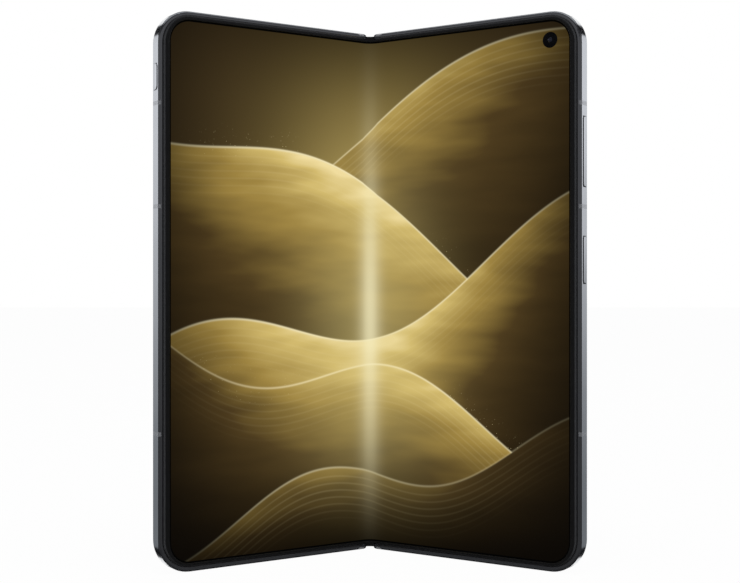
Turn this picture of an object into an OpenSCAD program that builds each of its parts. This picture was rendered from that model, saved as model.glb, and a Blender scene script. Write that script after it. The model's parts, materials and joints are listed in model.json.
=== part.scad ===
// Book-style foldable phone, standing half open on its bottom rails.
// Each half is drawn flat (x away from the fold, y from front to back, z up) and
// then turned about its own hinge axis. The left half is the mirror image.

/* [Body] */
// Height of the phone along the fold
body_h = 161.3; // [150:0.1:180]
// Width of one half, from the fold line to its outer edge
half_w = 71.7; // [64:0.1:80]
// Thickness of one half
half_t = 4.5; // [4.45:0.05:5.2]
// Radius of the outer corners
corner_r = 9.8; // [6:0.1:13]
// Rounding along the rails, front and back
edge_r = 0.7; // [0.6:0.05:1.2]
// Width of the rail's lip beside the bezel and the rear cover
rim = 1.1; // [1.1:0.05:1.3]
// Thickness of the rail's side wall
rail = 1.9; // [1.8:0.05:2.2]
// Thickness of the frame's mid plate
mid_plate = 0.5; // [0.4:0.05:0.5]

/* [Fold] */
// Angle by which each half is turned from flat
rest_fold = 32.7; // [20:0.1:45]
// Depth of the hinge axes behind the front face
axis_y = 1.3; // [1.2:0.05:1.4]
// Gap between the two front faces when closed
closed_gap = 1.0; // [0.96:0.02:1.2]
// Outer radius of the hinge cover
spine_r = 2.65; // [2.6:0.05:2.7]
// Wall of the hinge cover
spine_wall = 0.45; // [0.4:0.05:0.5]
// Running clearance between the hinge cover and the halves
spine_gap = 0.15; // [0.12:0.01:0.2]
// Half the gap between the halves' backs when flat
back_gap = 0.25; // [0.2:0.01:0.4]
// How far the hinge cover stops short of the halves at each end
spine_inset = 0.9; // [0.7:0.05:1.2]
// Radius of the hinge pins
pin_r = 0.4; // [0.3:0.02:0.45]
// Running clearance of a pin in its bore
pin_fit = 0.03; // [0.02:0.01:0.06]
// Length of a hinge bracket along the fold
bracket_l = 17; // [14:0.5:22]
// Length of a hinge arm's hub
hub_l = 5; // [4:0.5:7]
// Height of the upper and lower brackets' middles from the ends
bracket_z = 22; // [18:0.5:35]

/* [Gears] */
// Teeth on each synchronising gear
teeth = 9; // [9]
// Face width of the gears
gear_l = 2.4; // [1.6:0.1:3]
// Play between the flanks of two teeth
gear_play = 0.06; // [0.05:0.01:0.08]

/* [Display] */
// Width of the black bezel along the side
bezel_w = 1.88; // [1.6:0.02:2.6]
// Width of the black bezel along the top and the bottom
bezel_end_w = 1.16; // [1:0.02:2.6]
// Slit between the rail's lip and the bezel
bezel_slit = 0.34; // [0.2:0.02:0.4]
// Height of the raised bezel above the front face
bezel_rise = 0.45; // [0.3:0.01:0.46]
// Thickness of the folding display
display_t = 0.25; // [0.2:0.01:0.3]
// Thickness of the plate behind the display
support_t = 0.25; // [0.2:0.01:0.3]
// Distance from the fold line at which the display is free to bend
bend_x = 3.2; // [3:0.05:4]

/* [Keys] */
// Length of the volume key
volume_l = 20.1; // [16:0.1:26]
// Distance of the volume key's middle from the top
volume_drop = 40.75; // [40:0.1:43]
// Length of the power key
power_l = 13.5; // [10:0.1:15]
// Distance of the power key's middle from the top
power_drop = 71.65; // [68:0.1:75]
// Thickness of the keys across the rail
key_w = 1.9; // [1.5:0.05:2.2]
// How far a key stands out of the rail
key_rise = 0.35; // [0.32:0.01:0.5]
// Travel of a key
key_travel = 0.3; // [0.2:0.01:0.32]
// Clearance all round a key
key_gap = 0.12; // [0.08:0.01:0.15]
// Length of the alert slider's recess
slider_l = 7.7; // [7:0.1:9]
// Distance of the recess's middle from the top
slider_drop = 19.45; // [18:0.1:22]
// Length of the slider's knob
knob_l = 5.3; // [4.8:0.1:5.5]

/* [Cameras] */
// Distance of the camera island's middle from the top
island_drop = 32.3; // [30:0.1:35]
// Distance of the island's middle from the outer edge
island_side = 33.2; // [31:0.1:35]
// Radius of the camera island
island_r = 23.5; // [22:0.1:24]
// Height of the island above the back
island_h = 2.6; // [1.8:0.05:3.4]
// Radius of a main camera's ring
lens_r = 6.4; // [5:0.1:7]
// Distance of the lenses from the island's middle
lens_offset = 11.5; // [10:0.1:13]
// Radius of the punch hole in the inner display
punch_r = 2.35; // [1.5:0.05:2.6]
// Distance of the inner camera from the outer edge
punch_side = 9.7; // [9:0.1:11]
// Distance of the inner camera from the top
punch_drop = 8.3; // [7.5:0.1:9]

/* [Ports] */
// Width of the charging socket's opening
usb_w = 8.94; // [8.94]
// Height of the charging socket's opening
usb_h = 2.56; // [2.56]
// Depth of the charging socket
usb_depth = 6.65; // [6:0.05:7.4]
// Place of the charging socket across its half, as a share of the width
usb_share = 0.537; // [0.527:0.005:0.547]
// Width of the card tray
tray_w = 12.4; // [11.5:0.1:13]
// Length of the card tray
tray_l = 21; // [19:0.5:23]
// Thickness of the card tray's cradle
tray_t = 0.9; // [0.7:0.05:1]
// Radius of a loudspeaker hole
grille_r = 0.6; // [0.4:0.05:0.7]
// Number of loudspeaker holes
grille_n = 6; // [3:1:6]

/* [Insides] */
// Distances of the antenna bands from the top
band_drops = [27, 56.45, 121.2];
// Space between the rail and a battery
battery_side = 3.5; // [3.3:0.1:6]
// Height of the right battery's lower edge
right_battery_z = 26; // [25:0.5:30]
// Height of the left battery's lower edge
left_battery_z = 8; // [6:0.5:12]
// Height of the small board in the left half
sub_board_l = 33.3; // [24:0.1:34]
// Distance of the small board's upper edge from the top
sub_board_drop = 14; // [13:0.1:18]
// Length of the loudspeaker
speaker_l = 14; // [10:0.5:18]
// Thickness of the loudspeaker
speaker_t = 2.6; // [2:0.05:2.7]
// Width of the vibration motor
motor_w = 12; // [9:0.1:12]
// Length of the vibration motor
motor_l = 12; // [9:0.1:13]
// Thickness of the vibration motor
motor_t = 2.5; // [2:0.05:2.7]
// Height of the camera modules' square housings
camera_t = 2.2; // [1.9:0.05:2.2]
// Width of the inner camera's housing
selfie_w = 7; // [6:0.1:7.4]
// Width of the earpiece
earpiece_w = 14; // [10:0.1:16]
// Thickness of the rear cover and the cover glass
cover_t = 0.6; // [0.5:0.05:0.6]
// Thickness of the batteries
battery_t = 2.2; // [1.9:0.05:2.2]
// Thickness of the circuit boards
board_t = 0.6; // [0.4:0.05:0.8]
// Height of the screening cans on the boards
can_t = 1.2; // [0.8:0.05:1.4]
// Ordinary clearance between parts that don't touch
gap = 0.3; // [0.2:0.01:0.35]
// Width of an antenna band
band_w = 1.2; // [0.8:0.05:1.5]
// Depth of an antenna band
band_d = 0.8; // [0.5:0.05:0.9]

// Outer radius of the charging coil
coil_r = 20; // [16:0.5:23]
// Thickness of the charging coil
coil_t = 0.4; // [0.3:0.05:0.6]

/* [Hidden] */
$fn = 64;

// Hinge: axis of the right half, and the hollow in which the cover turns
axis_x = axis_y + closed_gap / 2;
hollow_r = spine_r + spine_gap;
hinge_wall = 1.2;
bay_x = axis_x + hollow_r + hinge_wall;

// Depths from the front face
plate_y = display_t + support_t;
bay_y = plate_y + mid_plate;
back_y = half_t - cover_t;
mid_y = half_t / 2;

// Places along the rails
band_z = [for (drop = band_drops) body_h - drop];
volume_z = body_h - volume_drop;
power_z = body_h - power_drop;
slider_z = body_h - slider_drop;
slider_sink = 0.4;
stem_l = 1.6;
island_z = body_h - island_drop;
island_x = half_w - island_side;
punch_x = half_w - punch_side;
usb_x = half_w * usb_share;
punch_z = body_h - punch_drop;
lip_x = bend_x - 1.3;
lip_t = axis_y - spine_gap - 0.05;
lip_round = 0.9;
bezel_x = half_w - rim - bezel_slit;
key_depth = 1.5;

// The bending stretch of the display, an arc tangent to both halves
function turned(x, y) = [
  axis_x + (x - axis_x) * cos(rest_fold) + (y - axis_y) * sin(rest_fold),
  axis_y - (x - axis_x) * sin(rest_fold) + (y - axis_y) * cos(rest_fold)
];
bend_end = turned(bend_x, 0);
bend_r = bend_end[0] / sin(rest_fold);
bend_y = bend_end[1] - bend_r * cos(rest_fold);

// Origin: middle of the bounding box's bottom face in this half-open state
rail_front = turned(half_w - edge_r, edge_r)[1] - edge_r;
bezel_front = turned(bezel_x, -bezel_rise)[1];
hood_back = turned(back_gap, half_t)[1];
origin_y = (min(rail_front, bezel_front) + max(hood_back, axis_y + spine_r)) / 2;

// Gears
gear_r = 0.75;
module_g = 2 * gear_r / teeth;
tip_r = gear_r + 0.7 * module_g;
root_r = gear_r - 0.95 * module_g;
pressure = 25;
idler_y = axis_y + sqrt(pow(2 * gear_r, 2) - pow(axis_x - gear_r, 2));
mesh_a = atan2(idler_y - axis_y, gear_r - axis_x);
half_pitch = 180 / teeth;
right_idler_a = mesh_a + 180 + half_pitch;
left_idler_a = 180 - right_idler_a + half_pitch;
left_hub_a = 180 - 2 * mesh_a - left_idler_a + half_pitch;
hub_r = 1.0;
boss_r = 1.1;
slot_gap = 0.2;

// Hinge stations along the fold
lower_z = bracket_z;
middle_z = body_h / 2;
upper_z = body_h - bracket_z;
gear_z = middle_z + hub_l / 2;
flange_w = 5.1;
flange_x = [bay_x + 0.1, bay_x + 0.1 + flange_w];
flange_l = 12;
flange_t = 0.7;
arm_y = plate_y + 0.05;
screw_r = 0.5;
screw_head_r = 0.85;
screw_head_t = 0.4;
screw_z = 4;

// Bay layout
bay_x1 = half_w - rail;
inside_x = flange_x[1] + 7 * gap;
board_z0 = 0.5 * body_h - 1;
board_y = bay_y + board_t;
can_gap = 2;
lens_at = [[-1, 1], [1, 1], [-1, -1]];
island_y = half_t + island_h;
usb_wall = 0.25;
usb_y = back_y - 0.1 - usb_wall - usb_h / 2;
reader_wall = 0.8;
tray_shift = 16;
tray_x = usb_x + tray_shift;
tray_y = bay_y + 1.2;
speaker_side = 4;
speaker_x = [inside_x, usb_x - usb_w / 2 - speaker_side];
speaker_edge = 1.5;
grille_pitch = (speaker_x[1] - speaker_x[0] - 2 * speaker_edge) / grille_n;
cover_cam_shift = 2.6;
cover_cam_x = half_w / 2 + cover_cam_shift;
cover_cam_drop = 9;
cover_cam_z = body_h - cover_cam_drop;
cover_cam_r = 3;
earpiece_h = 3;
earpiece_z = body_h - rail - earpiece_h;
sub_board_z = body_h - sub_board_drop - sub_board_l;
switch_t = 1.2;
board_side = 2.4;
seat_gap = 0.05;

// ---- Placing ----
module phone() translate([0, -origin_y, 0]) children();

module right_side() {
  phone()
    translate([axis_x, axis_y, 0])
      rotate([0, 0, -rest_fold])
        translate([-axis_x, -axis_y, 0])
          children();
}

module left_side() {
  mirror([1, 0, 0]) right_side() children();
}

// A flat layer of a half: a 2D shape in x and z, from depth y0 to depth y1
module layer(y0, y1) {
  translate([0, y1, 0]) rotate([90, 0, 0]) linear_extrude(y1 - y0) children();
}

// A box between two corners
module block(from, to) translate(from) cube(to - from);

// A round rod along the depth of the phone
module rod_y(x, z, y0, y1, r) {
  translate([x, y1, z]) rotate([90, 0, 0]) cylinder(h = y1 - y0, r = r);
}

// Outline of a half, stepped in from its edge, from x0 outward
module outline(inset, x0) uneven_outline(inset, inset, x0);

// The same, stepped in by one amount at the side and another at both ends
module uneven_outline(side, end, x0) {
  r = corner_r - side;
  x1 = half_w - side;
  translate([x0, end]) square([x1 - r - x0, body_h - 2 * end]);
  translate([x0, end + r]) square([x1 - x0, body_h - 2 * (end + r)]);
  for (z = [end + r, body_h - end - r]) translate([x1 - r, z]) circle(r);
}

// ---- Frame of a half ----
// The edge's rounding, at the front or the back
module edge_bead(y) {
  straight = body_h - 2 * corner_r;
  translate([half_w - edge_r, y, corner_r]) cylinder(h = straight, r = edge_r);
  for (z = [edge_r, body_h - edge_r])
    translate([back_gap, y, z]) rotate([0, 90, 0])
      cylinder(h = half_w - corner_r - back_gap, r = edge_r);
  for (end = [0, 1])
    translate([half_w - corner_r, y, end == 0 ? corner_r : body_h - corner_r])
      rotate([90, 0, 0])
        rotate([0, 0, end == 0 ? -90 : 0])
          rotate_extrude(angle = 90) translate([corner_r - edge_r, 0]) circle(edge_r);
}

module frame_solid() {
  layer(edge_r, half_t - edge_r) outline(0, back_gap);
  layer(0, half_t) outline(edge_r, back_gap);
  edge_bead(edge_r);
  edge_bead(half_t - edge_r);
}

// Room for the hinge cover, less the thin lips at both ends of the fold
module hinge_hollow() {
  difference() {
    union() {
      translate([axis_x, axis_y, -1]) cylinder(h = body_h + 2, r = hollow_r);
      block([-1, -1, -1], [axis_x, axis_y + hollow_r, body_h + 2]);
      block([-1, -1, -1], [axis_x + 0.8 * hollow_r, axis_y, body_h + 2]);
    }
    for (z = [0, body_h - rim]) block([lip_x, 0, z], [bay_x, lip_t, z + rim]);
  }
}

// Rounding of the lips' ends, beside the fold
module lip_rounds() {
  for (end = [0, 1]) {
    middle = end == 0 ? lip_round : body_h - lip_round;
    outer = end == 0 ? -1 : middle;
    difference() {
      block([lip_x - 1, -1, outer], [lip_x + lip_round, lip_t + 0.1, outer + lip_round + 1]);
      translate([lip_x + lip_round, -2, middle]) rotate([-90, 0, 0])
        cylinder(h = half_t, r = lip_round);
    }
  }
}

// Opening for an arm: the link passes the inner wall, the flange lies on the mid plate
module arm_opening(z) {
  reach = hub_l / 2 + gap / 2;
  block([axis_x, -1, z - reach], [flange_x[0] + 0.1, bay_y + flange_t + 0.1, z + reach]);
  for (s = [-1, 1]) rod_y(flange_x[0] + 2.6, z + s * screw_z, 0, bay_y + 1, screw_r);
}

module frame_common() {
  difference() {
    frame_solid();
    layer(-1, plate_y) outline(rim, -1);
    layer(bay_y, half_t + 1) intersection() {
      outline(rail, bay_x);
      translate([bay_x, 0]) square([half_w, body_h]);
    }
    layer(back_y, half_t + 1) outline(rim, bay_x);
    hinge_hollow();
    lip_rounds();
    for (z = [lower_z, middle_z, upper_z]) arm_opening(z);
    antenna_slots();
  }
}

// Slots in the rail that the antenna bands fill
module antenna_slots() {
  for (z = band_z)
    block([half_w - band_d, -1, z - band_w / 2], [half_w + 1, half_t + 1, z + band_w / 2]);
}

module antenna_bands() {
  intersection() {
    frame_solid();
    antenna_slots();
  }
}

module key_hole(z, l) {
  block(
    [half_w - rail - 1, mid_y - key_w / 2 - key_gap, z - l / 2 - key_gap],
    [half_w + 1, mid_y + key_w / 2 + key_gap, z + l / 2 + key_gap]
  );
}

module left_frame() color([0.60, 0.62, 0.66]) left_side() {
  knob_gap = key_gap + 0.02;
  slot_l = slider_l - knob_l + stem_l + 0.4;
  difference() {
    frame_common();
    block(
      [half_w - slider_sink, mid_y - key_w / 2 - knob_gap, slider_z - slider_l / 2],
      [half_w + 1, mid_y + key_w / 2 + knob_gap, slider_z + slider_l / 2]
    );
    block(
      [half_w - rail - 1, mid_y - 0.5, slider_z - slot_l / 2],
      [half_w, mid_y + 0.5, slider_z + slot_l / 2]
    );
  }
}

module right_frame() color([0.60, 0.62, 0.66]) right_side() {
  difference() {
    frame_common();
    key_hole(volume_z, volume_l);
    key_hole(power_z, power_l);
    usb_shape(usb_wall + 0.05, -1, usb_depth + 1.05);
    for (i = [0 : grille_n - 1])
      translate([speaker_x[0] + speaker_edge + (i + 0.5) * grille_pitch, mid_y, -1])
        cylinder(h = rail + 2, r = grille_r);
    tray_slot(tray_gap, -1, rail + 1);
    rod_y(punch_x, punch_z, 0, bay_y + 1, punch_r + 0.6);
  }
}

module left_antenna_bands() color([0.42, 0.44, 0.47]) left_side() antenna_bands();
module right_antenna_bands() color([0.42, 0.44, 0.47]) right_side() antenna_bands();

// ---- Display of a half ----
module bezel() {
  inset = rim + bezel_slit;
  layer(-bezel_rise, 0) difference() {
    outline(inset, bend_x);
    uneven_outline(inset + bezel_w, inset + bezel_end_w, -1);
  }
}

module display_half() layer(0, display_t) outline(rim + bezel_slit + gap / 2, bend_x);
module support_half() layer(display_t, plate_y) outline(rim + 0.1, bend_x);

module left_bezel() color([0.06, 0.06, 0.07]) left_side() bezel();
module right_bezel() color([0.06, 0.06, 0.07]) right_side() bezel();
module left_display() color([0.42, 0.34, 0.16]) left_side() display_half();

module right_display() color([0.42, 0.34, 0.16]) right_side() {
  difference() {
    display_half();
    rod_y(punch_x, punch_z, -1, display_t + 1, punch_r);
  }
}

module left_support_plate() color([0.5, 0.5, 0.5]) left_side() support_half();

module right_support_plate() color([0.5, 0.5, 0.5]) right_side() {
  difference() {
    support_half();
    rod_y(punch_x, punch_z, 0, 1, punch_r + 0.6);
  }
}

// ---- Hinge arms ----
module arm(z) {
  reach = hub_l / 2;
  difference() {
    union() {
      translate([axis_x, axis_y, z - reach]) cylinder(h = hub_l, r = hub_r);
      block([axis_x, arm_y, z - reach], [flange_x[0] + 0.1, bay_y, z + reach]);
      block([bay_x - hinge_wall, arm_y, z - reach], [flange_x[0], bay_y + flange_t, z + reach]);
      block(
        [flange_x[0], bay_y, z - flange_l / 2],
        [flange_x[1], bay_y + flange_t, z + flange_l / 2]
      );
    }
    translate([axis_x, axis_y, z - reach - 1])
      cylinder(h = hub_l + 2, r = pin_r + pin_fit);
    for (s = [-1, 1])
      rod_y(flange_x[0] + 2.6, z + s * screw_z, 0, bay_y + flange_t + 1, screw_r);
  }
}

// Half the angle that a tooth covers at radius r
function involute(angle) = tan(angle) * 180 / PI - angle;
function half_tooth(r) =
  half_pitch / 2 - play_angle + involute(pressure)
  - involute(acos(min(1, gear_r * cos(pressure) / r)));
play_angle = gear_play / 2 / gear_r * 180 / PI;
tooth_radii = [for (i = [0 : 4]) max(gear_r * cos(pressure), root_r) * (1 - i / 4) + tip_r * i / 4];

module tooth(angle) {
  foot = half_tooth(tooth_radii[0]);
  left = [for (r = tooth_radii) r * [cos(angle - half_tooth(r)), sin(angle - half_tooth(r))]];
  right = [for (i = [4 : -1 : 0]) let (r = tooth_radii[i])
    r * [cos(angle + half_tooth(r)), sin(angle + half_tooth(r))]];
  inner = (root_r - 0.1) * [[cos(angle + foot), sin(angle + foot)],
    [cos(angle - foot), sin(angle - foot)]];
  polygon(concat(left, right, inner));
}

module gear(angle, bore) {
  linear_extrude(gear_l) difference() {
    union() {
      circle(root_r);
      for (i = [0 : teeth - 1]) tooth(angle + 2 * i * half_pitch);
    }
    if (bore > 0) circle(bore);
  }
}

module hub_gear(x, angle) {
  phone() translate([x, axis_y, gear_z]) gear(angle, pin_r + pin_fit);
}

module left_arm_upper() color([0.55, 0.55, 0.57]) left_side() arm(upper_z);
module left_arm_lower() color([0.55, 0.55, 0.57]) left_side() arm(lower_z);
module right_arm_upper() color([0.55, 0.55, 0.57]) right_side() arm(upper_z);
module right_arm_lower() color([0.55, 0.55, 0.57]) right_side() arm(lower_z);

module left_arm_middle() color([0.55, 0.55, 0.57]) {
  left_side() arm(middle_z);
  hub_gear(-axis_x, left_hub_a);
}

module right_arm_middle() color([0.55, 0.55, 0.57]) {
  right_side() arm(middle_z);
  hub_gear(axis_x, mesh_a);
}

module flange_screws() {
  for (z = [lower_z, middle_z, upper_z], s = [-1, 1]) {
    rod_y(flange_x[0] + 2.6, z + s * screw_z, plate_y, bay_y + flange_t, screw_r);
    rod_y(flange_x[0] + 2.6, z + s * screw_z, bay_y + flange_t,
      bay_y + flange_t + screw_head_t, screw_head_r);
  }
}

module left_screws() color([0.75, 0.75, 0.77]) left_side() flange_screws();
module right_screws() color([0.75, 0.75, 0.77]) right_side() flange_screws();

// ---- Spine ----
// Section of the hinge cover: a flat back between two quarter rounds
module spine_section(r) {
  reach = axis_x + r;
  intersection() {
    union() {
      for (s = [-1, 1]) translate([s * axis_x, axis_y]) circle(r);
      translate([-axis_x, axis_y]) square([2 * axis_x, r]);
    }
    translate([-reach, axis_y]) square([2 * reach, reach]);
  }
}

module hinge_cover() color([0.52, 0.54, 0.58]) phone() {
  length = body_h - 2 * spine_inset;
  end_wall = 0.8;
  difference() {
    translate([0, 0, spine_inset]) linear_extrude(length) spine_section(spine_r);
    translate([0, 0, spine_inset + end_wall])
      linear_extrude(length - 2 * end_wall) spine_section(spine_r - spine_wall);
  }
}

bracket_screw_z = bracket_l / 2 - 1.5;

module pins_at(z, length, r) {
  for (s = [-1, 1])
    translate([s * axis_x, axis_y, z - length / 2]) cylinder(h = length, r = r);
}

module bracket(z) {
  slot = hub_l + 2 * slot_gap;
  difference() {
    union() {
      translate([0, 0, z - bracket_l / 2])
        linear_extrude(bracket_l) spine_section(spine_r - spine_wall);
      pins_at(z, bracket_l, boss_r);
    }
    pins_at(z, slot, hub_r + slot_gap);
    pins_at(z, bracket_l + 2, pin_r);
    for (s = [-1, 1]) {
      rod_y(0, z + s * bracket_screw_z, 0, axis_y + spine_r, screw_r);
    }
  }
}

module bracket_upper() color([0.45, 0.45, 0.47]) phone() bracket(upper_z);
module bracket_lower() color([0.45, 0.45, 0.47]) phone() bracket(lower_z);

module idler_space() {
  for (s = [-1, 1]) {
    translate([s * gear_r, idler_y, gear_z - slot_gap])
      cylinder(h = gear_l + 2 * slot_gap, r = tip_r + 0.12);
    translate([s * axis_x, axis_y, gear_z - slot_gap])
      cylinder(h = gear_l + 2 * slot_gap, r = tip_r + 0.12);
    translate([s * gear_r, idler_y, gear_z - idler_end - slot_gap])
      cylinder(h = gear_l + 2 * (idler_end + slot_gap), r = idler_pin_r + pin_fit);
  }
}

idler_pin_r = 0.4;
idler_end = 1.2;

module bracket_middle() color([0.45, 0.45, 0.47]) phone() {
  difference() {
    bracket(middle_z);
    idler_space();
  }
}

module idler(x, angle) {
  translate([x, idler_y, gear_z]) {
    gear(angle, 0);
    translate([0, 0, -idler_end]) cylinder(h = gear_l + 2 * idler_end, r = idler_pin_r);
  }
}

module right_idler() color([0.7, 0.66, 0.5]) phone() idler(gear_r, right_idler_a);
module left_idler() color([0.7, 0.66, 0.5]) phone() idler(-gear_r, left_idler_a);

module hinge_pins() color([0.75, 0.75, 0.77]) phone() {
  for (z = [lower_z, middle_z, upper_z]) pins_at(z, bracket_l - 1, pin_r);
}

module friction_springs() color([0.7, 0.68, 0.6]) phone() {
  for (z = [lower_z, middle_z, upper_z], s = [-1, 1]) {
    at = z - hub_l / 2 - slot_gap;
    translate([s * axis_x, axis_y, at]) difference() {
      cylinder(h = slot_gap - 0.03, r = hub_r - 0.1);
      translate([0, 0, -1]) cylinder(h = 2, r = pin_r);
    }
  }
}

module hinge_screws() color([0.75, 0.75, 0.77]) phone() {
  for (z = [lower_z, middle_z, upper_z], s = [-1, 1]) {
    at = z + s * bracket_screw_z;
    rod_y(0, at, axis_y, axis_y + spine_r - spine_wall, screw_r);
    rod_y(0, at, axis_y - screw_head_t, axis_y, axis_x - boss_r - 0.05);
  }
}

// Ribbon cables between the brackets, lying on the cover's inner face
module hinge_flex() color([0.55, 0.42, 0.12]) phone() {
  inner = axis_y + spine_r - spine_wall;
  flex_t = 0.15;
  for (span = [[lower_z, middle_z], [middle_z, upper_z]]) {
    z0 = span[0] + bracket_l / 2 + 2;
    z1 = span[1] - bracket_l / 2 - 2;
    block([-axis_x, inner - flex_t, z0], [axis_x, inner, z1]);
  }
}

module bend_strip(r0, r1, half_angle, z0, z1) {
  translate([0, bend_y, z0])
    rotate([0, 0, 90 - half_angle])
      rotate_extrude(angle = 2 * half_angle) translate([r0, 0]) square([r1 - r0, z1 - z0]);
}

module fold_display() color([0.42, 0.34, 0.16]) phone() {
  z0 = rim + bezel_slit + gap / 2;
  bend_strip(bend_r, bend_r + display_t, rest_fold, z0, body_h - z0);
}

// Soft caps that carry the bezel across the fold, between the lips
module fold_bezel() color([0.06, 0.06, 0.07]) phone() {
  lip_gap = 0.2;
  lip_end = turned(lip_x, 0)[0] - lip_gap;
  lip_angle = asin(lip_end / bend_r);
  for (end = [0, 1]) {
    strip_z = end == 0 ? rim + bezel_slit : body_h - rim - bezel_slit - bezel_end_w;
    bend_strip(bend_r - bezel_rise, bend_r, rest_fold, strip_z, strip_z + bezel_end_w);
    tab_z = end == 0 ? spine_inset : body_h - rim - bezel_slit;
    tab_l = rim + bezel_slit - spine_inset;
    bend_strip(bend_r - bezel_rise, bend_r + 0.6, lip_angle,
      tab_z - (end == 0 ? 0 : 0.1), tab_z + tab_l + (end == 0 ? 0.1 : 0));
  }
}

// ---- Keys and switches ----
module key(z, l) {
  r = key_w / 2;
  x0 = half_w - key_depth;
  x1 = half_w + key_rise;
  translate([x0, mid_y, z]) rotate([0, 90, 0]) linear_extrude(x1 - x0) {
    square([l - key_w, key_w], center = true);
    for (s = [-1, 1]) translate([s * (l / 2 - r), 0]) circle(r);
  }
}

module volume_key() color([0.66, 0.68, 0.72]) right_side() key(volume_z, volume_l);
module power_key() color([0.66, 0.68, 0.72]) right_side() key(power_z, power_l);

// A switch stands on the mid plate just inside the rail, behind its key
module switch_at(z) {
  x1 = half_w - key_depth - key_travel - 0.05;
  block([x1 - switch_t, bay_y, z - 2], [bay_x1, mid_y + 1, z + 2]);
  block([bay_x1, mid_y - 0.6, z - 1], [x1, mid_y + 0.6, z + 1]);
}

module key_switches() color([0.2, 0.35, 0.25]) right_side() {
  switch_at(volume_z - volume_l / 2 + 3);
  switch_at(volume_z + volume_l / 2 - 3);
  switch_at(power_z);
}

module alert_slider() color([0.66, 0.68, 0.72]) left_side() {
  knob_rise = 0.25;
  x0 = half_w - slider_sink + 0.05;
  block([x0, mid_y - key_w / 2, slider_z - knob_l / 2],
    [half_w + knob_rise, mid_y + key_w / 2, slider_z + knob_l / 2]);
  block([bay_x1 - 0.1, mid_y - 0.4, slider_z - stem_l / 2],
    [x0, mid_y + 0.4, slider_z + stem_l / 2]);
}

module slider_switch() color([0.2, 0.35, 0.25]) left_side() {
  x1 = bay_x1 - 0.15;
  block([x1 - 1.6, bay_y, slider_z - slider_l / 2], [x1, mid_y + 1, slider_z + slider_l / 2]);
}

// ---- Right half: insides ----
lens_x = function(i) island_x + lens_at[i][0] * lens_offset;
lens_z = function(i) island_z + lens_at[i][1] * lens_offset;
module_y = board_y;
flash_x = island_x + lens_offset;
flash_z = island_z - lens_offset;

module rear_cover() color([0.16, 0.18, 0.17]) right_side() {
  difference() {
    layer(back_y, half_t) outline(rim + 0.1, bay_x + 0.1);
    rod_y(island_x, island_z, back_y - 1, half_t + 1, island_r - 1);
  }
}

module camera_island() color([0.20, 0.21, 0.21]) right_side() {
  difference() {
    union() {
      rod_y(island_x, island_z, half_t, island_y, island_r);
      rod_y(island_x, island_z, back_y, half_t, island_r - 1 - seat_gap);
    }
    for (i = [0 : 2])
      rod_y(lens_x(i), lens_z(i), 0, island_y + 1, lens_r - 0.9);
    rod_y(flash_x, flash_z, 0, island_y + 1, 2.4);
  }
}

module lens_rings() color([0.7, 0.7, 0.7]) right_side() {
  ring_rise = 0.6;
  for (i = [0 : 2]) difference() {
    rod_y(lens_x(i), lens_z(i), island_y, island_y + ring_rise, lens_r);
    rod_y(lens_x(i), lens_z(i), 0, island_y + 1, lens_r - 0.9);
  }
}

module lens_glasses() color([0.05, 0.05, 0.08]) right_side() {
  for (i = [0 : 2])
    rod_y(lens_x(i), lens_z(i), island_y - 0.4, island_y + 0.3, lens_r - 0.9 - seat_gap);
}

module camera(i, r) {
  s = lens_r - 1.0;
  block([lens_x(i) - s, module_y, lens_z(i) - s],
    [lens_x(i) + s, module_y + camera_t, lens_z(i) + s]);
  rod_y(lens_x(i), lens_z(i), module_y + camera_t, island_y - 0.4, r);
}

module wide_camera() color([0.1, 0.1, 0.12]) right_side() camera(0, 4.6);
module tele_camera() color([0.1, 0.1, 0.12]) right_side() camera(1, 4.2);
module ultrawide_camera() color([0.1, 0.1, 0.12]) right_side() camera(2, 3.6);

module flash() color([0.95, 0.93, 0.85]) right_side() {
  rod_y(flash_x, flash_z, module_y, island_y, 2.35);
}

module battery(z0, z1) {
  block([inside_x, bay_y, z0], [bay_x1 - battery_side, bay_y + battery_t, z1]);
}

module right_battery() color([0.12, 0.12, 0.13]) right_side() {
  battery(right_battery_z, board_z0 - 5 * gap);
}

module main_board() color([0.1, 0.3, 0.18]) right_side() {
  notch_x = punch_x - selfie_w / 2 - 2.5;
  notch_z = punch_z - selfie_w / 2 - 2;
  layer(bay_y, board_y) {
    translate([inside_x, board_z0]) square([notch_x - inside_x, body_h - 4 - board_z0]);
    translate([inside_x, board_z0]) square([bay_x1 - board_side - inside_x, notch_z - board_z0]);
  }
}

module screening_cans() color([0.7, 0.7, 0.7]) right_side() {
  can_z = [board_z0 + can_gap, island_z - island_r + can_gap];
  can_x = bay_x1 - 3 * can_gap;
  block([inside_x + 1, board_y, can_z[0]], [island_x - can_gap, board_y + can_t, can_z[1]]);
  block([island_x, board_y, can_z[0]], [can_x, board_y + can_t, can_z[1]]);
}

module charging_coil() color([0.75, 0.4, 0.15]) right_side() {
  coil_z = (right_battery_z + board_z0) / 2;
  top = bay_y + battery_t;
  difference() {
    rod_y(usb_x + 1, coil_z, top, top + coil_t, coil_r);
    rod_y(usb_x + 1, coil_z, top - 1, top + 1, coil_r / 2);
  }
}

// The socket's outline, larger than its opening by grow, from height z0 to z1
module usb_shape(grow, z0, z1) {
  r = usb_h / 2 + grow;
  translate([usb_x, usb_y, z0]) linear_extrude(z1 - z0) {
    square([usb_w - usb_h, 2 * r], center = true);
    for (s = [-1, 1]) translate([s * (usb_w - usb_h) / 2, 0]) circle(r);
  }
}

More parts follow.
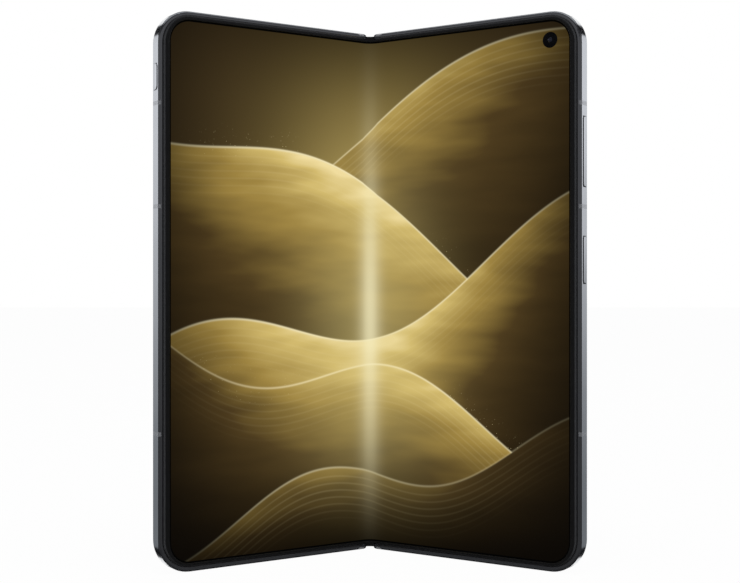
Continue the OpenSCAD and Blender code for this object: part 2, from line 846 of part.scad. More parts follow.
module usb_port() color([0.6, 0.6, 0.62]) right_side() {
  tongue_w = 6.69;
  tongue_t = 0.7;
  difference() {
    usb_shape(usb_wall, 0.2, usb_depth + 1);
    usb_shape(0, -1, usb_depth);
  }
  block([usb_x - tongue_w / 2, usb_y - tongue_t / 2, 1.4],
    [usb_x + tongue_w / 2, usb_y + tongue_t / 2, usb_depth + 0.5]);
}

module loudspeaker() color([0.08, 0.08, 0.09]) right_side() {
  block([speaker_x[0], bay_y, rail], [speaker_x[1], bay_y + speaker_t, rail + speaker_l]);
}

module vibration_motor() color([0.6, 0.6, 0.6]) right_side() {
  motor_gap = 4;
  z0 = usb_depth + motor_gap;
  x1 = tray_x - tray_w / 2 - 3 * gap - reader_wall;
  block([x1 - motor_w, bay_y, z0], [x1, bay_y + motor_t, z0 + motor_l]);
}

// Outline of the card tray across its length, larger by grow
tray_gap = 0.1;

module tray_slot(grow, z0, z1) {
  block([tray_x - tray_w / 2 - grow, tray_y - tray_t / 2 - grow, z0],
    [tray_x + tray_w / 2 + grow, tray_y + tray_t / 2 + grow, z1]);
}

module card_reader() color([0.7, 0.7, 0.7]) right_side() {
  w = tray_w / 2 + reader_wall;
  difference() {
    block([tray_x - w, bay_y, rail], [tray_x + w, tray_y + tray_t / 2 + 0.5, tray_l + 0.6]);
    tray_slot(tray_gap, 0, tray_l + 0.2);
  }
}

module card_tray() color([0.6, 0.62, 0.66]) right_side() {
  card = [8.8, 12.3];
  difference() {
    tray_slot(0, 0.05, tray_l);
    block([tray_x - card[0] / 2, tray_y - 0.25, 4], [tray_x + card[0] / 2, tray_y + 2, 4 + card[1]]);
  }
}

module inner_camera() color([0.05, 0.05, 0.06]) right_side() {
  rod_y(punch_x, punch_z, 0, display_t, punch_r - 0.05);
  rod_y(punch_x, punch_z, display_t, bay_y, punch_r + 0.5);
  s = selfie_w / 2;
  block([punch_x - s, bay_y, punch_z - s], [punch_x + s, bay_y + 2.4, punch_z + s]);
}

// ---- Left half: insides ----
module cover_glass() color([0.03, 0.03, 0.04]) left_side() {
  layer(back_y, half_t) outline(rim + 0.1, bay_x + 0.1);
}

module cover_display() color([0.08, 0.08, 0.1]) left_side() {
  difference() {
    layer(back_y - 0.6, back_y) outline(rail + 1.5, bay_x + 1.5);
    rod_y(cover_cam_x, cover_cam_z, 0, half_t, 2);
    block([cover_cam_x - earpiece_w / 2 - gap, 0, earpiece_z - gap],
      [cover_cam_x + earpiece_w / 2 + gap, half_t, body_h]);
  }
}

module cover_camera() color([0.05, 0.05, 0.06]) left_side() {
  rod_y(cover_cam_x, cover_cam_z, bay_y, back_y - 0.9, cover_cam_r);
  rod_y(cover_cam_x, cover_cam_z, back_y - 0.9, back_y, 1.8);
}

module earpiece() color([0.1, 0.1, 0.11]) left_side() {
  block([cover_cam_x - earpiece_w / 2, bay_y + 0.8, earpiece_z],
    [cover_cam_x + earpiece_w / 2, back_y, body_h - rail]);
}

module left_battery() color([0.12, 0.12, 0.13]) left_side() {
  battery(left_battery_z, sub_board_z - 5 * gap);
}

module sub_board() color([0.1, 0.3, 0.18]) left_side() {
  block([inside_x, bay_y, sub_board_z],
    [bay_x1 - board_side, board_y, body_h - sub_board_drop]);
}

left_frame();
left_antenna_bands();
left_bezel();
left_display();
left_support_plate();
cover_glass();
cover_display();
cover_camera();
earpiece();
left_battery();
sub_board();
slider_switch();
alert_slider();
left_arm_upper();
left_arm_middle();
left_arm_lower();
left_screws();
right_frame();
right_antenna_bands();
right_bezel();
right_display();
right_support_plate();
rear_cover();
camera_island();
lens_rings();
lens_glasses();
wide_camera();
tele_camera();
ultrawide_camera();
flash();
right_battery();
main_board();
screening_cans();
charging_coil();
usb_port();
loudspeaker();
card_reader();
vibration_motor();
inner_camera();
key_switches();
volume_key();
power_key();
card_tray();
right_arm_upper();
right_arm_middle();
right_arm_lower();
right_screws();
hinge_cover();
bracket_upper();
bracket_middle();
bracket_lower();
hinge_pins();
friction_springs();
hinge_screws();
hinge_flex();
fold_display();
fold_bezel();
left_idler();
right_idler();
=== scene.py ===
import json
import math
import bmesh
import bpy
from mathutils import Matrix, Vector


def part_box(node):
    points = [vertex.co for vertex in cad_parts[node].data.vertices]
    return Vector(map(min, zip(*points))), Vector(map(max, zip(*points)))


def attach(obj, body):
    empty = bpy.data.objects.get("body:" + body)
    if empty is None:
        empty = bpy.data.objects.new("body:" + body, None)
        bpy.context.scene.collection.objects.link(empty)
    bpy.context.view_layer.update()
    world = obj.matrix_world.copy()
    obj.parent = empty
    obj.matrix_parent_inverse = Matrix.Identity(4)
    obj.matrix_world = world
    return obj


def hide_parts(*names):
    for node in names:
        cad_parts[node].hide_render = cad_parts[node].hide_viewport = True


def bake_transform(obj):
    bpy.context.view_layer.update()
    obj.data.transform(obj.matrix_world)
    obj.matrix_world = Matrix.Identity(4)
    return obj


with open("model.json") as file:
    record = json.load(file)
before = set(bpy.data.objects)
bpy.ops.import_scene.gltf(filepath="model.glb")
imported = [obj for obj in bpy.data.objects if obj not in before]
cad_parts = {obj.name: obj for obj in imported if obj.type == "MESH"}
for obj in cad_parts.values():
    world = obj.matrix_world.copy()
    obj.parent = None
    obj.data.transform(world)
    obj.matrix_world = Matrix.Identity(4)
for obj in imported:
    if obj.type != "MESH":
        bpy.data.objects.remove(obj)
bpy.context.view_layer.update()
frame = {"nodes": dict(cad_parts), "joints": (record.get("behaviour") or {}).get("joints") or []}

# ---- Frames ----
# Each half has a milled aluminium frame, a tray whose rounded rail is polished
# and tinted a light steel blue. The keys, the slider and the antenna bands sit
# in its rail, and its back wraps round the hinge cover.


class Wire:
    """A value on its way through a node tree; arithmetic on it adds Math nodes."""

    def __init__(self, nodes, socket):
        self.nodes = nodes
        self.socket = socket

    def maths(self, operation, *values):
        return self.nodes.wire(
            "ShaderNodeMath", {"operation": operation}, dict(enumerate(values)),
        )

    def __add__(self, other):
        return self.maths("ADD", self, other)

    def __radd__(self, other):
        return self.maths("ADD", other, self)

    def __sub__(self, other):
        return self.maths("SUBTRACT", self, other)

    def __rsub__(self, other):
        return self.maths("SUBTRACT", other, self)

    def __mul__(self, other):
        return self.maths("MULTIPLY", self, other)

    def __rmul__(self, other):
        return self.maths("MULTIPLY", other, self)

    def __truediv__(self, other):
        return self.maths("DIVIDE", self, other)

    def __rtruediv__(self, other):
        return self.maths("DIVIDE", other, self)

    def __pow__(self, other):
        return self.maths("POWER", self, other)

    def __rpow__(self, other):
        return self.maths("POWER", other, self)

    def sine(self):
        return self.maths("SINE", self)

    def exp(self):
        return self.maths("EXPONENT", self)

    def root(self):
        return self.maths("SQRT", self)

    def size(self):
        return self.maths("ABSOLUTE", self)

    def over(self, other):
        return self.maths("MAXIMUM", self, other)

    def under(self, other):
        return self.maths("MINIMUM", self, other)

    def step(self, start, end):
        """Goes smoothly from 0 where the value is at start to 1 where it is at end."""
        settings = {"interpolation_type": "SMOOTHSTEP"}
        return self.nodes.wire("ShaderNodeMapRange", settings, {0: self, 1: start, 2: end})


class Nodes:
    """A node tree; one method adds any node, and the others call it."""

    def __init__(self, tree):
        self.tree = tree

    def node(self, kind, settings, sockets):
        made = self.tree.nodes.new(kind)
        for name, value in settings.items():
            if name == "stops":
                ramp = made.color_ramp
                while len(ramp.elements) < len(value):
                    ramp.elements.new(0.5)
                for element, (place, colour) in zip(ramp.elements, value):
                    element.position, element.color = place, (*colour, 1)
            else:
                setattr(made, name, value)
        for socket, value in sockets.items():
            if isinstance(value, Wire):
                self.tree.links.new(value.socket, made.inputs[socket])
            else:
                made.inputs[socket].default_value = value
        return made

    def wire(self, kind, settings, sockets, output=0):
        return Wire(self, self.node(kind, settings, sockets).outputs[output])

    def place(self, output="Object"):
        return self.wire("ShaderNodeTexCoord", {}, {}, output)

    def stretched(self, scale, where=None):
        sockets = {0: where or self.place(), 1: scale}
        return self.wire("ShaderNodeVectorMath", {"operation": "MULTIPLY"}, sockets)

    def parts(self, vector):
        split = self.node("ShaderNodeSeparateXYZ", {}, {0: vector})
        return [Wire(self, split.outputs[i]) for i in range(3)]

    def noise(self, scale, detail=3.0, where=None):
        sockets = {"Vector": where or self.place(), "Scale": scale, "Detail": detail}
        return self.wire("ShaderNodeTexNoise", {}, sockets)

    def blend(self, factor, low, high):
        """Mixes two colours: sockets 6 and 7 take them, and output 2 gives the mix."""
        low, high = [(*c, 1) if isinstance(c, tuple) else c for c in (low, high)]
        sockets = {0: factor, 6: low, 7: high}
        return self.wire("ShaderNodeMix", {"data_type": "RGBA"}, sockets, 2)


class Finish(Nodes):
    """A material with one Principled shader."""

    def __init__(self, name, **constants):
        self.material = bpy.data.materials.new(name)
        self.material.use_nodes = True
        super().__init__(self.material.node_tree)
        self.shader = next(n for n in self.tree.nodes if n.type == "BSDF_PRINCIPLED")
        for socket, value in constants.items():
            self.shader.inputs[socket.replace("_", " ")].default_value = value

    def feed(self, **wires):
        for socket, value in wires.items():
            self.tree.links.new(value.socket, self.shader.inputs[socket.replace("_", " ")])

    def bump(self, height, strength, distance):
        sockets = {"Height": height, "Strength": strength, "Distance": distance}
        self.feed(Normal=self.wire("ShaderNodeBump", {}, sockets))

    def coat(self, *pieces):
        for piece in pieces:
            slots = piece.data.materials
            slots.clear()
            slots.append(self.material)


def polished(name, low, high, roughness, grain_height):
    """Metal with a faint grain along the rail and slight clouding of the polish."""
    made = Finish(name, Metallic=1.0)
    cloud = made.noise(90.0, 4.0)
    grain = made.noise(1.0, 2.0, made.stretched((2500.0, 2500.0, 180.0)))
    made.feed(
        Base_Color=made.blend(cloud, low, high),
        Roughness=roughness + 0.06 * cloud + 0.05 * grain,
    )
    made.bump(grain, 0.15, grain_height)
    return made


frame_metal = polished("frame_metal", (0.52, 0.535, 0.56), (0.60, 0.615, 0.64), 0.09, 0.000004)
frame_metal.coat(frame["nodes"]["left_frame"], frame["nodes"]["right_frame"])

# ---- Antenna bands ----
# Three bands a half are moulded into slots across the rail and polished flush
# with it. Their plastic carries a metallic pigment that matches the frame.
band_plastic = Finish("band_plastic", Metallic=0.7, Roughness=0.24)
speckle = band_plastic.noise(3000.0, 2.0)
band_plastic.feed(
    Base_Color=band_plastic.blend(speckle, (0.42, 0.43, 0.45), (0.48, 0.49, 0.51)),
)
band_plastic.coat(*[frame["nodes"][n] for n in ("left_antenna_bands", "right_antenna_bands")])

# ---- Bezels ----
# A soft black rubber frame is glued round each half's display, in a thin trim
# ring. The trim's grey along the sides is a painted highlight, and its near-black
# ends are painted shade. They stand 0.45 mm proud, so that the halves close on them.
right_fold = next(j for j in frame["joints"] if j["name"] == "right_fold")
axis_out, axis_back = right_fold["pos_m"][:2]
axis_depth = 0.0013
rest_fold = math.radians(-right_fold["range_deg"][0])
LEFT, RIGHT = -1, 1
HALVES = ((LEFT, "left"), (RIGHT, "right"))


def on_half(side, x, depth, z):
    """A point of a half: x away from the fold and depth behind its front face."""
    dx, dy = x - axis_out, depth - axis_depth
    out = axis_out + dx * math.cos(rest_fold) + dy * math.sin(rest_fold)
    back = axis_back - dx * math.sin(rest_fold) + dy * math.cos(rest_fold)
    return Vector((side * out, back, z))


def half_box(node, side):
    """Lowest and highest corners of a CAD node, measured along its own half."""
    spots = []
    for vertex in frame["nodes"][node].data.vertices:
        dx, dy = side * vertex.co.x - axis_out, vertex.co.y - axis_back
        x = axis_out + dx * math.cos(rest_fold) - dy * math.sin(rest_fold)
        depth = axis_depth + dx * math.sin(rest_fold) + dy * math.cos(rest_fold)
        spots.append((x, depth, vertex.co.z))
    return [min(s) for s in zip(*spots)], [max(s) for s in zip(*spots)]


phone_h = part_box("right_frame")[1].z
half_w = half_box("right_frame", RIGHT)[1][0]
corner_r = 0.0098
bend_x = 0.0032
bezel_inset = 0.00144
bezel_w = 0.00188
bezel_end_w = 0.00116
bezel_rise = 0.00045
trim_w = 0.00042


def outline(x0, inset, end_inset):
    """Points of a half's rounded outline at an inset, each with its outward direction."""
    straight_steps, corner_steps = 12, 14
    r = corner_r - inset
    x1, low, high = half_w - inset - r, end_inset + r, phone_h - end_inset - r
    shares = [i / straight_steps for i in range(straight_steps + 1)]
    spots = [((x0 + (x1 - x0) * s, end_inset), (0, -1)) for s in shares[:-1]]
    for middle, start in ((low, -90), (high, 0)):
        for i in range(corner_steps + 1):
            turn = math.radians(start + 90 * i / corner_steps)
            way = (math.cos(turn), math.sin(turn))
            spots.append(((x1 + r * way[0], middle + r * way[1]), way))
    return spots + [((x1 + (x0 - x1) * s, phone_h - end_inset), (0, 1)) for s in shares[1:]]


def new_piece(name, fill, body, *nodes):
    """A smooth-shaded object; fill makes its mesh, and nodes are the ones it replaces."""
    shape = bmesh.new()
    fill(shape)
    bmesh.ops.recalc_face_normals(shape, faces=shape.faces)
    mesh = bpy.data.meshes.new(name)
    shape.to_mesh(mesh)
    shape.free()
    piece = bpy.data.objects.new(name, mesh)
    bpy.context.scene.collection.objects.link(piece)
    for face in mesh.polygons:
        face.use_smooth = True
    if body:
        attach(piece, body)
    if nodes:
        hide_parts(*nodes)
    return piece


def sharp_by_angle(piece, degrees):
    """Marks edges sharper than an angle, so that flats and rounds shade apart."""
    limit = math.radians(degrees)
    shape = bmesh.new()
    shape.from_mesh(piece.data)
    for edge in shape.edges:
        edge.smooth = len(edge.link_faces) == 2 and edge.calc_face_angle() < limit
    shape.to_mesh(piece.data)
    shape.free()


def bridge(shape, rings, looped=False):
    """Faces between neighbouring rings of vertices; the ends are capped or joined."""
    pairs = list(zip(rings, rings[1:]))
    if looped:
        pairs.append((rings[-1], rings[0]))
    for one, two in pairs:
        for i in range(len(one)):
            j = (i + 1) % len(one)
            shape.faces.new((one[i], one[j], two[j], two[i]))
    if not looped:
        shape.faces.new(rings[0])
        shape.faces.new(reversed(rings[-1]))


def quarter(radius, start, steps):
    """Steps along a quarter turn from a start angle, as offsets from its centre."""
    angles = [math.radians(start + 90 * i / steps) for i in range(steps + 1)]
    return [(radius * math.cos(a), radius * math.sin(a)) for a in angles]


def bezel_profile():
    """Section of the rubber: outer (0) or inner (1) edge, how far out of it, and depth."""
    outer_r, inner_r = 0.00014, 0.00012
    profile = [(0, -trim_w, 0.0)]
    for x, y in quarter(outer_r, 0, 5):
        profile.append((0, x - trim_w - outer_r, outer_r - y - bezel_rise))
    for x, y in quarter(inner_r, 90, 5):
        profile.append((1, x + inner_r, inner_r - y - bezel_rise))
    return profile + [(1, 0.0, 0.0)]


def trim_profile():
    """Section of the trim, which lies a little below the rubber and runs under it."""
    r, drop, tuck = 0.0004, 0.00002, 0.0001
    top = drop - bezel_rise
    rounding = [(0, x - r, r - y + top) for x, y in quarter(r, 0, 8)]
    return [(0, 0.0, 0.0), *rounding, (0, -trim_w - tuck, top), (0, -trim_w - tuck, 0.0)]


def bezel_shape(side, profile):
    """Filler for a ring that follows the half's outline, open at the fold."""
    outer = outline(bend_x, bezel_inset, bezel_inset)
    inner = outline(bend_x, bezel_inset + bezel_w, bezel_inset + bezel_end_w)

    def fill(shape):
        rings = []
        for edges in zip(outer, inner):
            rings.append([])
            for edge, out, depth in profile:
                (x, z), (out_x, out_z) = edges[edge]
                spot = on_half(side, x + out * out_x, depth, z + out * out_z)
                rings[-1].append(shape.verts.new(spot))
        bridge(shape, rings)

    return fill


rubber = Finish("bezel_rubber")
mottle = rubber.noise(1800.0, 3.0)
rubber.feed(
    Base_Color=rubber.blend(mottle, (0.005, 0.005, 0.0052), (0.008, 0.008, 0.0085)),
    Roughness=0.34 + 0.12 * mottle,
)
rubber.bump(mottle, 0.2, 0.00001)
trim_painted_light = Finish("trim_painted_light")
mottle = trim_painted_light.noise(1800.0, 3.0)
_, _, height = trim_painted_light.parts(trim_painted_light.place())
# Painted light: the trim's grey sides are a painted highlight, its near-black ends painted shade
off_middle = (height - phone_h / 2).size()
painted_shade_at_ends = off_middle.step(phone_h / 2 - 0.009, phone_h / 2 - 0.0015)
grey = trim_painted_light.blend(mottle, (0.034, 0.035, 0.037), (0.046, 0.047, 0.050))
trim_painted_light.feed(
    Base_Color=trim_painted_light.blend(painted_shade_at_ends, grey, (0.012, 0.012, 0.013)),
    Roughness=0.30 + 0.10 * mottle,
)
bezel_rings = (("ring", bezel_profile(), rubber), ("trim", trim_profile(), trim_painted_light))
for side, word in HALVES:
    for name, profile, finish in bezel_rings:
        shape = bezel_shape(side, profile)
        bezel = new_piece(f"{word}_bezel_{name}", shape, f"{word}_half", f"{word}_bezel")
        sharp_by_angle(bezel, 50)
        finish.coat(bezel)

# ---- Folding display ----
# One laminate of thin glass and plastic runs across both halves. Over the hinge
# it is free to bend. It is lit, and shows a plain picture of layered golden
# waves under a soft glow along the fold; a narrow line on the fold is partly a
# painted reflection of the crease.
display_t = 0.00025
display_inset = 0.00159
display_r = corner_r - display_inset
straight_x = half_w - corner_r
bend_end = on_half(RIGHT, bend_x, 0.0, 0.0)
bend_r = bend_end.x / math.sin(rest_fold)
bend_y = bend_end.y - bend_r * math.cos(rest_fold)


def on_display(side, x, depth, z):
    """A point of the display at a flat distance x from the fold."""
    if x >= bend_x:
        return on_half(side, x, depth, z)
    turn = rest_fold * x / bend_x
    r = bend_r + depth
    return Vector((side * r * math.sin(turn), bend_y + r * math.cos(turn), z))


def display_columns():
    """Flat distances x of the display's columns, closer over the bend and the corners."""
    bend = [bend_x * i / 14 for i in range(14)]
    straight = [bend_x + (straight_x - bend_x) * i / 10 for i in range(10)]
    angles = [math.radians(90 * i / 16) for i in range(17)]
    return bend + straight + [straight_x + display_r * math.sin(a) for a in angles]


def column_margin(x):
    """Distance from the phone's end to the display's, at a flat distance x."""
    past = max(0.0, x - straight_x)
    return corner_r - math.sqrt(max(0.0, display_r ** 2 - past ** 2))


def display_shape(side):
    """Filler for one half's sheet; its UV map is flat, in half widths from the middle."""
    rows = 24

    def fill(shape):
        flat = shape.loops.layers.uv.new("flat")
        grids = []
        for depth in (0.0, display_t):
            grid = []
            for x in display_columns():
                margin = column_margin(x)
                column = []
                for row in range(rows + 1):
                    z = margin + (phone_h - 2 * margin) * row / rows
                    column.append((shape.verts.new(on_display(side, x, depth, z)), x, z))
                grid.append(column)
            grids.append(grid)

        def face(*corners):
            made = shape.faces.new([c[0] for c in corners])
            for loop, (_, x, z) in zip(made.loops, corners):
                loop[flat].uv = (side * x / half_w, (z - phone_h / 2) / half_w)

        front, back = grids
        last = len(front) - 1
        for i in range(last):
            for j in range(rows):
                face(front[i][j], front[i + 1][j], front[i + 1][j + 1], front[i][j + 1])
                face(back[i][j], back[i][j + 1], back[i + 1][j + 1], back[i + 1][j])
            for j in (0, rows):
                face(front[i][j], back[i][j], back[i + 1][j], front[i + 1][j])
        for i in (0, last):
            for j in range(rows):
                face(front[i][j], front[i][j + 1], back[i][j + 1], back[i][j])

    return fill


def bell(value, width):
    """1 where a value is 0, falling off smoothly to both sides over a width."""
    return (-1.0 * (value / width) ** 2.0).exp()


def wave_picture(made):
    """Emission colour of the picture: layered waves, each lit along its crest."""
    flat = made.place("UV")
    across, up, _ = made.parts(flat)
    glow = bell(across, 0.46) * bell(up + 0.05, 0.78)
    picture = made.blend(glow, (0.040, 0.025, 0.009), (0.50, 0.37, 0.11))
    # Height, tilt, swing, pitch and phase of a crest, then fall and gain of its light
    waves = (
        (0.62, 0.34, 0.20, 2.3, 0.4, 0.50, 0.58),
        (0.30, -0.42, 0.16, 2.9, 2.0, 0.46, 1.00),
        (-0.05, 0.30, 0.17, 3.3, 4.4, 0.44, 1.05),
        (-0.42, -0.26, 0.13, 3.9, 0.9, 0.30, 0.85),
        (-0.80, 0.22, 0.10, 4.6, 3.0, 0.24, 0.40),
    )
    dusted = (1, 3)
    gold = (
        (0.0, (0.006, 0.004, 0.002)), (0.22, (0.070, 0.042, 0.012)), (0.5, (0.34, 0.228, 0.052)),
        (0.8, (0.65, 0.49, 0.155)), (1.0, (0.90, 0.74, 0.36)),
    )
    silk = made.noise(1.0, 2.0, made.stretched((2.2, 9.0, 1.0), flat))
    grains = made.wire("ShaderNodeTexVoronoi", {}, {"Vector": flat, "Scale": 110.0}, "Distance")
    speck = grains.step(0.16, 0.05) * made.noise(60.0, 1.0, flat).step(0.50, 0.62)
    for number, (height, tilt, swing, pitch, phase, fall, gain) in enumerate(waves):
        crest = height + tilt * across + swing * (pitch * across + phase).sine()
        below = crest - up
        sheen = (-1.0 * below.over(0.0) / fall).exp()
        light = bell(across - 0.25 * math.cos(phase), 0.70)
        tone = gain * sheen * (0.22 + 0.78 * light) * (0.60 + 0.85 * silk)
        body = made.wire("ShaderNodeValToRGB", {"stops": gold}, {0: tone})
        picture = made.blend(below.step(-0.002, 0.006), picture, body)
        rim = bell(below, 0.0045) * (0.15 + 0.85 * light) * gain
        picture = made.blend(rim, picture, (0.96, 0.84, 0.50))
        # Fine parallel lines below the crest, and over two waves a drift of gold dust
        lines = ((below * 210.0).sine() * 0.5 + 0.5) ** 6.0
        spread = below.step(0.01, 0.04) * below.step(0.26, 0.10)
        picture = made.blend(0.10 * lines * spread * light, picture, (0.85, 0.70, 0.35))
        if number in dusted:
            drift = below.step(-0.12, -0.01) * below.step(0.10, 0.0)
            aside = across.size().step(0.20, 0.45) * across.size().step(0.95, 0.7)
            picture = made.blend(0.9 * speck * drift * aside, picture, (0.98, 0.82, 0.42))
    # A soft halo and a narrow ray of light stand on the fold; the ray is partly the
    # picture's own light and partly a painted reflection of the crease. The edges fall to black
    halo = bell(across, 0.30) * bell(up + 0.14, 0.62)
    picture = made.blend(0.40 * halo, picture, (0.66, 0.54, 0.20))
    ray = bell(across, 0.055) * bell(up + 0.10, 0.60)
    picture = made.blend(0.62 * ray, picture, (0.95, 0.88, 0.56))
    inside = across.size().step(1.25, 0.62) * up.step(1.45, 0.75) * up.step(-1.16, -0.66)
    return made.blend(0.08 + 0.92 * inside, (0.0015, 0.0010, 0.0005), picture)


def lit_area(made):
    """1 inside the rounded edge of the lit area and 0 in the black border round it."""
    border, soft_edge = 0.00042, 0.00006
    across, up, _ = made.parts(made.place("UV"))
    r = corner_r - bezel_inset - bezel_w - border
    straight_z = phone_h / 2 - bezel_inset - bezel_end_w - border - r
    past_x = (across.size() * half_w - straight_x).over(0.0)
    past_z = (up.size() * half_w - straight_z).over(0.0)
    return (past_x ** 2.0 + past_z ** 2.0).root().step(r, r - soft_edge)


def bend_with_fold(piece, side):
    """Bakes a piece's placement into its mesh; it is not made to bend with the fold."""
    end = on_half(side, bend_x, 0.0, 0.0)
    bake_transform(piece)


screen = Finish(
    "lit_screen",
    Base_Color=(0.0015, 0.0015, 0.0015, 1), Roughness=0.16, Specular_IOR_Level=0.04,
    Emission_Strength=1.0,
)
screen.feed(
    Emission_Color=screen.blend(lit_area(screen), (0.0, 0.0, 0.0), wave_picture(screen)),
)
display_nodes = {"left": ("left_display", "fold_display"), "right": ("right_display",)}
for side, word in HALVES:
    shape = display_shape(side)
    sheet = new_piece(f"{word}_display_sheet", shape, None, *display_nodes[word])
    sharp_by_angle(sheet, 40)
    screen.coat(sheet)
    bend_with_fold(sheet, side)

# ---- Fold caps ----
# Between the two bezels a short cap of the same rubber bends with the display
# at each end of the fold, and a thicker tab of it fills the gap between the
# frames' lips.
tab_l = 0.00170
tab_out, tab_in = 0.00090, 0.0019
tab_base = 0.0005
tab_chamfer = 0.00015
tab_profile = [
    (tab_out, tab_base), (tab_out, tab_chamfer - bezel_rise),
    (tab_out + tab_chamfer, -bezel_rise), (tab_in, -bezel_rise), (tab_in, tab_base),
]
cap_edges = (bezel_inset, bezel_inset + bezel_end_w)
cap_profile = [(cap_edges[edge] - out, depth) for edge, out, depth in bezel_profile()]


def fold_shape(side, profile, x_end):
    """Filler for two strips that follow the bend; the profile lists margin and depth."""
    steps = 12

    def fill(shape):
        for end in (0.0, phone_h):
            rings = []
            for i in range(steps + 1):
                rings.append([])
                for margin, depth in profile:
                    spot = on_display(side, x_end * i / steps, depth, abs(end - margin))
                    rings[-1].append(shape.verts.new(spot))
            bridge(shape, rings)

    return fill


for side, word in HALVES:
    for name, profile, x_end in (("cap", cap_profile, bend_x), ("tab", tab_profile, tab_l)):
        shape = fold_shape(side, profile, x_end)
        strip = new_piece(f"{word}_fold_{name}", shape, None, "fold_bezel")
        sharp_by_angle(strip, 40)
        rubber.coat(strip)
        bend_with_fold(strip, side)

# ---- Lip pads ----
# A small pale oval pad lies on the rounded end of each lip, where the two
# frames come closest. Its pale colour is a painted highlight on the lip's end.
edge_r = 0.0007
pad_x, pad_margin = 0.00366, 0.00040
pad_half_l, pad_half_w = 0.0011, 0.00026
pad_swell = ((1.0, -0.00004), (1.0, 0.0), (0.85, 0.00003), (0.5, 0.00005), (0.1, 0.00006))


def round_angles(count):
    return [math.tau * i / count for i in range(count)]


def pad_shape(side, end):
    """Filler for an oval pad that swells a little out of the lip's rounding."""

    def fill(shape):
        rings = []
        for share, lift in pad_swell:
            rings.append([])
            for turn in round_angles(32):
                x = pad_x + pad_half_l * share * math.cos(turn)
                margin = pad_margin + pad_half_w * share * math.sin(turn)
                depth = edge_r - math.sqrt(edge_r ** 2 - (edge_r - margin) ** 2) - lift
                spot = on_half(side, x, depth, abs(end - margin))
                rings[-1].append(shape.verts.new(spot))
        bridge(shape, rings)

    return fill


# The pads' pale colour is a painted highlight on the rounded lip ends
lip_highlight_paint = Finish("painted_lip_highlight", Roughness=0.45)
fleck = lip_highlight_paint.noise(2500.0, 2.0)
lip_highlight_paint.feed(Base_Color=lip_highlight_paint.blend(fleck, (0.33, 0.33, 0.34), (0.40, 0.40, 0.41)))
for side, word in HALVES:
    for place, end in (("lower", 0.0), ("upper", phone_h)):
        lip_highlight_paint.coat(new_piece(f"{word}_{place}_pad", pad_shape(side, end), f"{word}_half"))

# ---- Inner camera ----
# A small camera looks through a black-printed hole at the top of the right
# half. A slight dome of coated glass lies in the middle of its black window.


def half_centre(node, side):
    """Middle of a CAD node's box, as x, depth and z of its own half."""
    low, high = half_box(node, side)
    return [(low[i] + high[i]) / 2 for i in range(3)]


def turned_shape(side, x, z, profile, looped=False, steps=72):
    """Filler for a round piece on a half; its profile lists radius and depth."""

    def fill(shape):
        rings = []
        for r, depth in profile:
            spots = [(x + r * math.cos(a), z + r * math.sin(a)) for a in round_angles(steps)]
            rings.append([shape.verts.new(on_half(side, sx, depth, sz)) for sx, sz in spots])
        bridge(shape, rings, looped)

    return fill


def dome(radius, rise, depth, back=1, steps=6):
    """Profile of a shallow dome that ends in a small flat at its top."""
    spots = []
    for i in range(steps):
        share = 1 - i / steps
        spots.append((radius * share, depth + back * rise * (1 - share ** 2)))
    return spots + [(0.04 * radius, depth + back * rise)]


black_glass = Finish("black_glass", Roughness=0.06, Specular_IOR_Level=0.15)
fog = black_glass.noise(400.0, 2.0)
black_glass.feed(
    Base_Color=black_glass.blend(fog, (0.0015, 0.0015, 0.002), (0.004, 0.004, 0.005)),
)
lens_coating = Finish("lens_coating", Roughness=0.05, Coat_Weight=1.0)
fog = lens_coating.noise(500.0, 2.0)
lens_coating.feed(
    Base_Color=lens_coating.blend(fog, (0.006, 0.008, 0.015), (0.014, 0.013, 0.022)),
)
punch_x, _, punch_z = half_centre("inner_camera", RIGHT)
punch_r, glint_r = 0.00230, 0.0007
window_rise, window_edge = 0.00004, 0.00001
window_profile = [
    (punch_r, 0.0), (punch_r, window_edge - window_rise),
    (punch_r - 2 * window_edge, -window_rise), (glint_r - 0.0001, -window_rise),
]
punch = new_piece(
    "inner_camera_window",
    turned_shape(RIGHT, punch_x, punch_z, window_profile),
    "right_half", "inner_camera",
)
sharp_by_angle(punch, 30)
black_glass.coat(punch)
glint_foot = (glint_r, window_edge - window_rise)
glint_profile = [glint_foot] + dome(glint_r, rise=0.00012, depth=-window_rise, back=-1)
glint = new_piece(
    "inner_camera_lens",
    turned_shape(RIGHT, punch_x, punch_z, glint_profile, steps=40),
    "right_half", "inner_camera",
)
lens_coating.coat(glint)

# ---- Keys ----
# A long volume key and a shorter power key stand a little out of the right rail.
# Each is a pill of the frame's metal with a flat top and rounded edges.
key_rise, key_edge = 0.0002, 0.00012
key_metal = polished("key_metal", (0.54, 0.555, 0.58), (0.62, 0.635, 0.66), 0.10, 0.000004)


def pill_profile(x0, x1, edge):
    """From its foot at x0 to its top at x1, with an edge of a given radius."""
    return [(0.0, x0)] + [(edge - out, x1 - edge + rise) for out, rise in quarter(edge, 0, 5)]


def pill_shape(side, low, high, profile):
    """Filler for a pill on a rail; its profile lists inset and distance x."""
    steps = 20
    middle, r = (low[1] + high[1]) / 2, (high[1] - low[1]) / 2

    def fill(shape):
        rings = []
        for inset, x in profile:
            rings.append([])
            for centre, start in ((high[2] - r, 0), (low[2] + r, 180)):
                for i in range(steps + 1):
                    turn = math.radians(start + 180 * i / steps)
                    depth = middle + (r - inset) * math.cos(turn)
                    z = centre + (r - inset) * math.sin(turn)
                    rings[-1].append(shape.verts.new(on_half(side, x, depth, z)))
        bridge(shape, rings)

    return fill


for word in ("volume", "power"):
    low, high = half_box(f"{word}_key", RIGHT)
    profile = pill_profile(low[0], half_w + key_rise, key_edge)
    shape = pill_shape(RIGHT, low, high, profile)
    key = new_piece(f"{word}_key_cap", shape, f"{word}_key", f"{word}_key")
    sharp_by_angle(key, 35)
    key_metal.coat(key)

